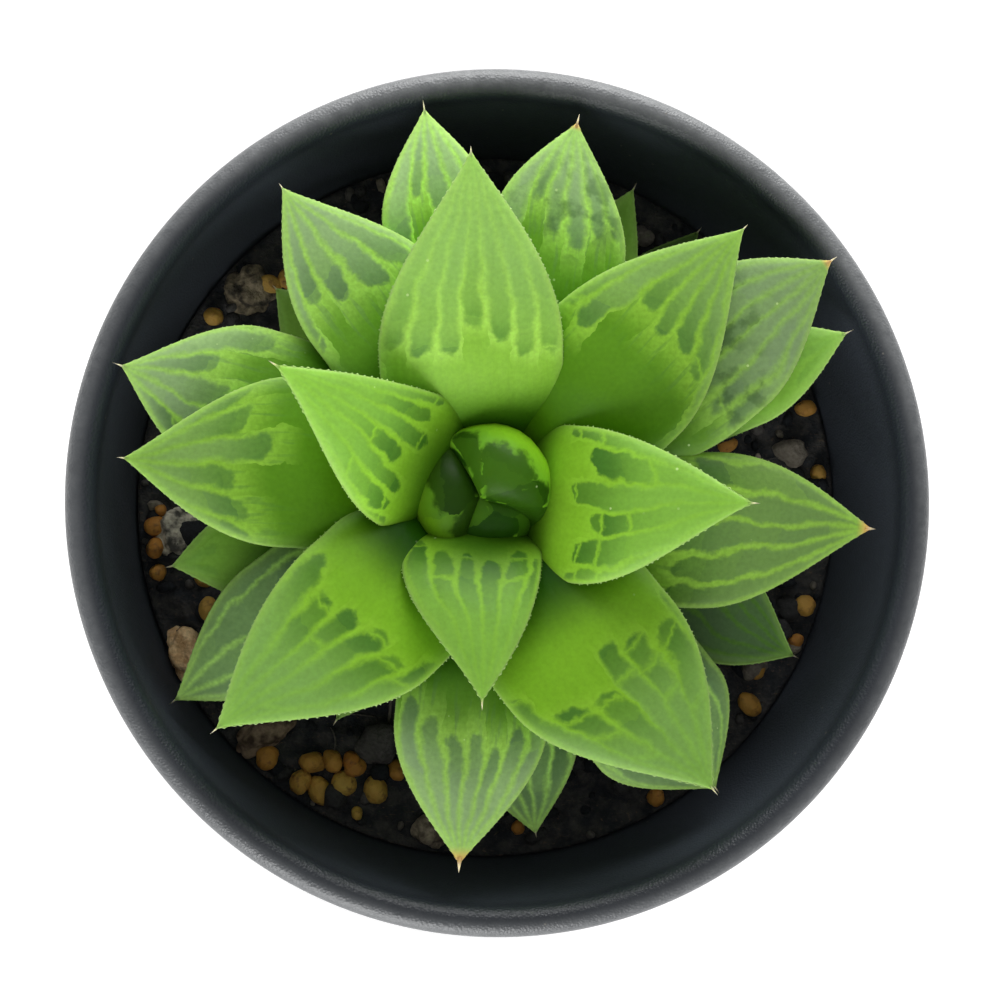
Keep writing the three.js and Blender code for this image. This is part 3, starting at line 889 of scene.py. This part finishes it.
def turn_matrix(draw):
    """A random rotation."""
    a, b, c = draw.uniform(0, math.tau, 3)
    turn = Matrix.Rotation(a, 3, "X") @ Matrix.Rotation(b, 3, "Y") @ Matrix.Rotation(c, 3, "Z")
    return np.array(turn)


def crumb(levels, size, draw, roughness=0.25):
    """A rough grain: a ball that is stretched, dented and turned."""
    points, faces = BALLS[levels]
    seed = int(draw.integers(1 << 30))
    dents = 1 + roughness * ripple(points, 2.2, seed, 5) + roughness * 0.5 * ripple(
        points, 0.9, seed + 1, 5)
    stretch = size / 2 * draw.uniform(0.7, 1.25, 3)
    return (points * dents[:, None] * stretch) @ turn_matrix(draw).T, faces


def random_spot(draw, inside):
    """A spot on the soil, at least that far inside its edge."""
    radius = (SOIL_RADIUS - inside) * math.sqrt(draw.uniform())
    angle = draw.uniform(0, math.tau)
    return radius * math.cos(angle), radius * math.sin(angle)


def clear_of_wall(x, y, size):
    """Draws a spot inwards until a grain of that size fits beside the pot's wall."""
    limit = SOIL_RADIUS - 0.75 * size
    share = min(1.0, limit / math.hypot(x, y))
    return x * share, y * share


def on_soil(points, x, y, sink):
    """Moves a grain to its place, with its middle that far under the surface."""
    return points + np.array([x, y, height_at(rough_soil_height, x, y) - sink])


def add_grains(name, material, grains):
    """One object from many grains, each with its own tint."""
    points, faces = join([(points, faces) for points, faces, _ in grains])
    tints = np.concatenate([np.full(len(points), tint) for points, _, tint in grains])
    piece = make_object(name, points, faces, material, {"tint": tints})
    finish_piece(piece, "soil")


def crumb_material():
    m = Material("crumb_skin", roughness=0.95, specular_ior_level=0.25)
    place = m.place()
    tint = m.attribute("tint")
    fine = m.noise(place, 2.4, 5.0)
    colour = m.mix(tint.rise(0.0, 0.6), (30, 33, 37), (82, 80, 77))
    colour = m.mix(tint.rise(0.6, 1.0), colour, (132, 124, 110))
    m.set("Base Color", m.scale(colour, 0.4 + fine * 1.2))
    m.bump(fine + m.noise(place, 7.0, 3.0) * 0.4, 0.25)
    return m.material


# Each sort of loose crumb: its name, how fine its mesh is, how many there are, and the
# smallest and largest size in millimetres.
CRUMB_SORTS = (("soil_crumbs", 2, 620, (0.7, 2.2)), ("soil_lumps", 3, 90, (2.0, 3.6)))
HIDDEN_GRAINS = 34        # yellow grains beside those that the photograph shows
FIBRE_COUNT = 150


def make_crumbs():
    draw = np.random.default_rng(5)
    material = crumb_material()
    for name, levels, count, sizes in CRUMB_SORTS:
        grains = []
        for _ in range(count):
            size = lerp(*sizes, draw.uniform() ** 2)
            points, faces = crumb(levels, size, draw)
            x, y = clear_of_wall(*random_spot(draw, size / 2), size)
            grains.append((on_soil(points, x, y, -0.1 * size), faces, draw.uniform() ** 2.2))
        add_grains(name, material, grains)


def grain_material():
    m = Material("grain_skin", roughness=0.75, subsurface_weight=0.1, subsurface_scale=0.5 * MM)
    place = m.place()
    tint = m.attribute("tint")
    dust = m.noise(place, 1.6, 5.0)
    # Orange to pale yellow, dimmed as painted shade for the shade of the pot's wall.
    colour = m.mix(tint, (162, 101, 30), (186, 154, 70))
    colour = m.mix(dust.rise(0.52, 0.72) * 0.75, colour, (96, 66, 34))
    m.set("Base Color", m.scale(colour, 0.7 + 0.6 * m.noise(place, 0.8)))
    m.bump(dust, 0.2)
    return m.material


def make_yellow_grains():
    draw = np.random.default_rng(9)
    spots = [(*under_pixel(x, y), size, tint) for x, y, size, tint in GRAINS_IN_PHOTO]
    spots += [(*random_spot(draw, 1.5), draw.uniform(1.2, 2.2), draw.uniform())
              for _ in range(HIDDEN_GRAINS)]
    grains = []
    for x, y, size, tint in spots:
        x, y = clear_of_wall(x, y, size)
        points, faces = crumb(3, size, draw, 0.12)
        grains.append((on_soil(points, x, y, -0.25 * size), faces, tint))
    add_grains("soil_grains", grain_material(), grains)


def fibre(draw):
    """A thin bent root hair or sliver that lies on the soil."""
    x, y = random_spot(draw, 7.0)
    heading = draw.uniform(0, math.tau)
    length, radius = draw.uniform(2.0, 6.5), draw.uniform(0.05, 0.16)
    bend = draw.uniform(-0.35, 0.35)
    stations, sides = 9, 5
    angles = circle_angles(sides)
    rings = []
    for k in range(stations):
        heading += bend / stations * 4
        x += length / stations * math.cos(heading)
        y += length / stations * math.sin(heading)
        z = height_at(rough_soil_height, x, y) + 0.25
        across = np.array([-math.sin(heading), math.cos(heading), 0])
        thick = radius * (0.5 + math.sin(math.pi * (k + 0.5) / stations) * 0.5)
        rings.append(np.array([x, y, z]) + thick * (np.outer(np.cos(angles), across)
                                                    + np.outer(np.sin(angles), (0, 0, 1))))
    return tube(rings)


def make_fibres():
    draw = np.random.default_rng(21)
    fibres = [(*fibre(draw), 0.35 + 0.65 * draw.uniform()) for _ in range(FIBRE_COUNT)]
    add_grains("soil_fibres", crumb_material(), fibres)


# Their slot, light and dark colours, and how rough their form is.
STONE_LOOKS = {
    "stone_tan": ("stone_tan", (246, 214, 164), (194, 154, 108), 0.10),
    "stone_grey": ("stone_grey", (158, 146, 128), (92, 82, 70), 0.10),
    "lump_back": ("soil_lump", (140, 128, 104), (54, 50, 42), 0.22),
    "lump_left": ("soil_lump", (206, 200, 180), (72, 70, 66), 0.18),
    "bark_chip": ("bark", (134, 116, 96), (60, 46, 36), 0.12),
}


def make_stone(name, place, size, turn):
    slot, light, dark, roughness = STONE_LOOKS[name]
    points, faces = BALLS[5]
    wave = np.sin(3.1 * points[:, 0] + 5 * points[:, 2] + turn) * np.cos(
        4.3 * points[:, 1] - turn)
    dents = (1 + 0.16 * wave + roughness * 0.5 * ripple(points, 1.0, turn, 12)
             + roughness * 0.25 * ripple(points, 0.35, turn + 1, 14))
    points = points * dents[:, None] * np.array(size) / 2
    points = points @ np.array(Matrix.Rotation(math.radians(turn), 3, "Z")).T
    x, y = place
    middle = height_at(soil_height, x, y) + 0.1 * size[2]
    m = Material(name + "_skin", roughness=0.9, specular_ior_level=0.3)
    where = m.place()
    coarse, fine = m.noise(where, 0.9, 5.0), m.noise(where, 4.0, 4.0)
    colour = m.mix(coarse.rise(0.35, 0.65), dark, light)
    m.set("Base Color", m.scale(colour, 0.55 + fine * 0.9))
    m.bump(coarse * 0.5 + fine * 0.5, 0.3)
    piece = make_object(name + "_fine", points + np.array([x, y, middle]), faces, m.material)
    finish_piece(piece, slot, name)


# ---- Pot ----

def arc(centre, radius, start, end, steps):
    angles = np.radians(np.linspace(start, end, steps + 1))
    return [(centre[0] + radius * math.cos(a), centre[1] + radius * math.sin(a)) for a in angles]


POT_SIDES = 256
WALL_RINGS = 24
FLOOR_RINGS = (4.0, 10.0, 19.0)


def pot_profile():
    """Half section, from the middle of the underside round to the middle of the floor."""
    recess = FOOT_RADIUS - FOOT_RING
    lip_foot = RIM_HEIGHT - LIP_DROP
    inner, outer = 0.5, 0.8     # how round the foot ring's edges are
    hollow, edge = 0.4, 0.6     # how round the corner under the lip and the lip's edge are
    profile = [(radius, FOOT_RECESS) for radius in FLOOR_RINGS]
    profile += [(recess - FOOT_RECESS, FOOT_RECESS)]
    profile += arc((recess + inner, inner), inner, 180, 270, 4)
    profile += arc((FOOT_RADIUS - outer, outer), outer, 270, 360, 6)
    low, high = profile[-1][1], lip_foot - hollow
    for k in range(1, WALL_RINGS + 1):
        height = lerp(low, high, k / WALL_RINGS)
        profile.append((inner_radius(height) + WALL, height))
    wall = profile[-1][0]
    profile += arc((wall + hollow, high), hollow, 180, 90, 4)[1:]
    profile += arc((RIM_RADIUS - edge, lip_foot + 1.0), edge, 270, 360, 6)
    profile += arc((RIM_RADIUS - LIP_ROUND, MOUTH_HEIGHT), LIP_ROUND, 0, 180, 20)
    for k in range(1, WALL_RINGS + 1):
        height = lerp(MOUTH_HEIGHT, FLOOR_TOP + 1, k / WALL_RINGS)
        profile.append((inner_radius(height), height))
    profile += [(FLOOR_RADIUS - 1, FLOOR_TOP)]
    profile += [(radius, FLOOR_TOP) for radius in reversed(FLOOR_RINGS)]
    return profile


def wall_dust_and_light(z, radius):
    """Where a matte dusty film lies on the inner wall, painted lighter as painted light on the
    shaded wall, less of it near the lip.
    """
    slope = (MOUTH_RADIUS - FLOOR_RADIUS) / (MOUTH_HEIGHT - FLOOR_TOP)
    into_wall = radius - (z * slope + (FLOOR_RADIUS - FLOOR_TOP * slope))
    return (1 - into_wall.rise(0.3, 0.9)) * (1 - z.rise(MOUTH_HEIGHT - 2, RIM_HEIGHT) * 0.8)


def rim_highlight(x, y, z, radius):
    """Where the rim's outer edge is painted lighter, a painted highlight, most of all at the back.
    """
    lit_side = ((x * 0.3 + y * 0.95) / RIM_RADIUS).rise(0.1, 1.0)
    inside_edge = RIM_RADIUS - radius - lit_side * 0.6
    return (1 - inside_edge.rise(0.5, 1.9)) * z.rise(63.2, 64.2) * (0.62 + lit_side * 0.5)


def pot_material():
    m = Material("pot_skin", specular_ior_level=0.5)
    place = m.place()
    x, y, z = place.split()
    radius = (x * x + y * y).math("SQRT")
    grain = m.cells(place, 4.5) + m.noise(place, 7.0, 3.0) * 0.5
    cloud = m.noise(place, 0.12, 3.0)
    patches = m.noise(place, 1.1, 4.0)
    dust_and_light = wall_dust_and_light(z, radius)
    rim_sheen = rim_highlight(x, y, z, radius)
    dust = m.cells(place, 0.35).rise(0.045, 0.03)
    scuffs = m.noise(place, 6.0, 2.0).rise(0.68, 0.76) * cloud.rise(0.5, 0.65)
    colour = m.mix(cloud, (25, 29, 35), (35, 40, 47))
    # The inner wall: a matte dusty film, painted lighter as painted light on the shaded wall.
    colour = m.mix(dust_and_light * (0.6 + patches * 0.6), colour, (46, 53, 63))
    # A painted highlight along the rim's outer edge.
    colour = m.mix(rim_sheen * (0.35 + patches * 0.7), colour, (124, 126, 127))
    colour = m.mix(dust * 0.5, colour, (120, 116, 108))
    m.set("Base Color", m.mix(scuffs * 0.3, colour, (92, 94, 96)))
    m.set("Roughness", 0.3 + cloud * 0.1 + dust_and_light * 0.5)
    m.bump(grain, 0.035)
    return m.material


def make_pot():
    rings = [circle(radius, height, POT_SIDES) for radius, height in pot_profile()]
    points, faces = closed_rings(rings, [(0, 0, FOOT_RECESS), (0, 0, FLOOR_TOP)])
    pot = make_object("pot_fine", points, faces, pot_material())
    drill = drain_drill()
    cut = pot.modifiers.new("drain", "BOOLEAN")
    cut.operation = "DIFFERENCE"
    cut.solver = "EXACT"
    cut.object = drill
    apply_modifiers(pot)
    bpy.data.objects.remove(drill)
    pot.data.set_sharp_from_angle(angle=math.radians(60))
    finish_piece(pot, "pot_plastic", "pot")


DRAIN_SIDES = 48


def drain_plug(radius, x, y):
    """A cylinder through the pot's floor."""
    return tube([circle(radius, height, DRAIN_SIDES, x, y) for height in (-1.0, FLOOR_TOP + 1)])


def drain_drill():
    """All the drain holes' plugs in one object."""
    parts = [drain_plug(DRAIN_CENTRE_RADIUS, 0.0, 0.0)]
    for k in range(DRAIN_RING_COUNT):
        angle = math.tau * k / DRAIN_RING_COUNT
        parts.append(drain_plug(DRAIN_RING_RADIUS, DRAIN_CIRCLE * math.cos(angle),
                                DRAIN_CIRCLE * math.sin(angle)))
    points, faces = join(parts)
    return make_object("drain_drill", points, faces)


def apply_modifiers(thing):
    graph = bpy.context.evaluated_depsgraph_get()
    mesh = bpy.data.meshes.new_from_object(thing.evaluated_get(graph))
    thing.modifiers.clear()
    thing.data = mesh


# ---- Stem ----

def dress_stem():
    """Gives the stem and the roots, which keep their CAD form, a corky skin."""
    m = Material("stem_skin", roughness=0.85, specular_ior_level=0.3)
    place = m.place()
    x, y, z = place.split()
    rings = m.noise(m.vector(x * 0.5, y * 0.5, z * 2.0), 1.0, 4.0)
    fine = m.noise(place, 3.5, 4.0)
    colour = m.mix(rings.rise(0.3, 0.7), (150, 138, 96), (206, 196, 158))
    m.set("Base Color", m.scale(colour, 0.6 + fine * 0.8))
    m.bump(rings * 0.7 + fine * 0.3, 0.25)
    bpy.data.objects["stem_and_roots"].material_slots[0].material = m.material


# ---- Stage ----

def add_floor():
    m = Material("floor_skin", roughness=0.8, emission_strength=0.35)
    white = m.mix(m.noise(m.place(), 0.02), (248, 248, 248), (252, 252, 252))
    m.set("Base Color", white)
    m.set("Emission Color", white)
    reach = 1500
    corners = [(-reach, -reach, 0), (reach, -reach, 0), (reach, reach, 0), (-reach, reach, 0)]
    floor = make_object("floor", corners, [(0, 1, 2, 3)], m.material)


# The softboxes: name, place and size in metres, and power in watts.
LIGHTS = (("softbox_front", (-0.2, -0.78, 0.33), 0.7, 6.4),
          ("softbox_back", (0.14, 0.82, 0.25), 0.85, 9.6))
LIGHTS_AIM = Vector((0, 0, 0.06))


def add_light(name, place, size, energy):
    data = bpy.data.lights.new(name, "AREA")
    data.shape = "DISK"
    data.size = size
    data.energy = energy
    lamp = add_object(name, data)
    lamp.location = place
    lamp.rotation_euler = (LIGHTS_AIM - Vector(place)).to_track_quat("-Z", "Y").to_euler()


def add_surroundings():
    """A white studio, brighter near the floor than overhead, and darker at the sides."""
    world = bpy.data.worlds.new("world")
    bpy.context.scene.world = world
    world.use_nodes = True
    tree = world.node_tree
    background = tree.nodes["Background"]
    put(background.inputs["Color"], (1, 1, 1, 1))
    x, _, z = add_node(tree, "ShaderNodeTexCoord", "Generated").split()
    overhead = z.rise(0.1, 0.9)
    sideways = x.math("ABSOLUTE").rise(0.35, 0.95)
    put(background.inputs["Strength"], 1.05 - overhead * 0.5 - sideways * 0.6)


# ---- Assembly ----

add_camera()
add_floor()
add_surroundings()
for light in LIGHTS:
    add_light(*light)
make_pot()
make_soil()
make_crumbs()
make_yellow_grains()
make_fibres()
for stone in STONES:
    make_stone(*stone)
dress_stem()
for k, leaf in enumerate(BUD_LEAVES):
    make_leaf(f"bud_leaf_{k + 1}", "bud_leaf", leaf, bud_spine(leaf), BUD_WRAP, 300 + 10 * k)
for k, leaf in enumerate(LEAVES):
    slot = "leaf" if k < YOUNGER_LEAVES else "old_leaf"
    make_leaf(f"leaf_{k + 1:02d}", slot, leaf, open_spine(leaf, k), FLAT_WRAP, 10 + 10 * k)

bpy.context.scene.view_settings.view_transform = "Standard"
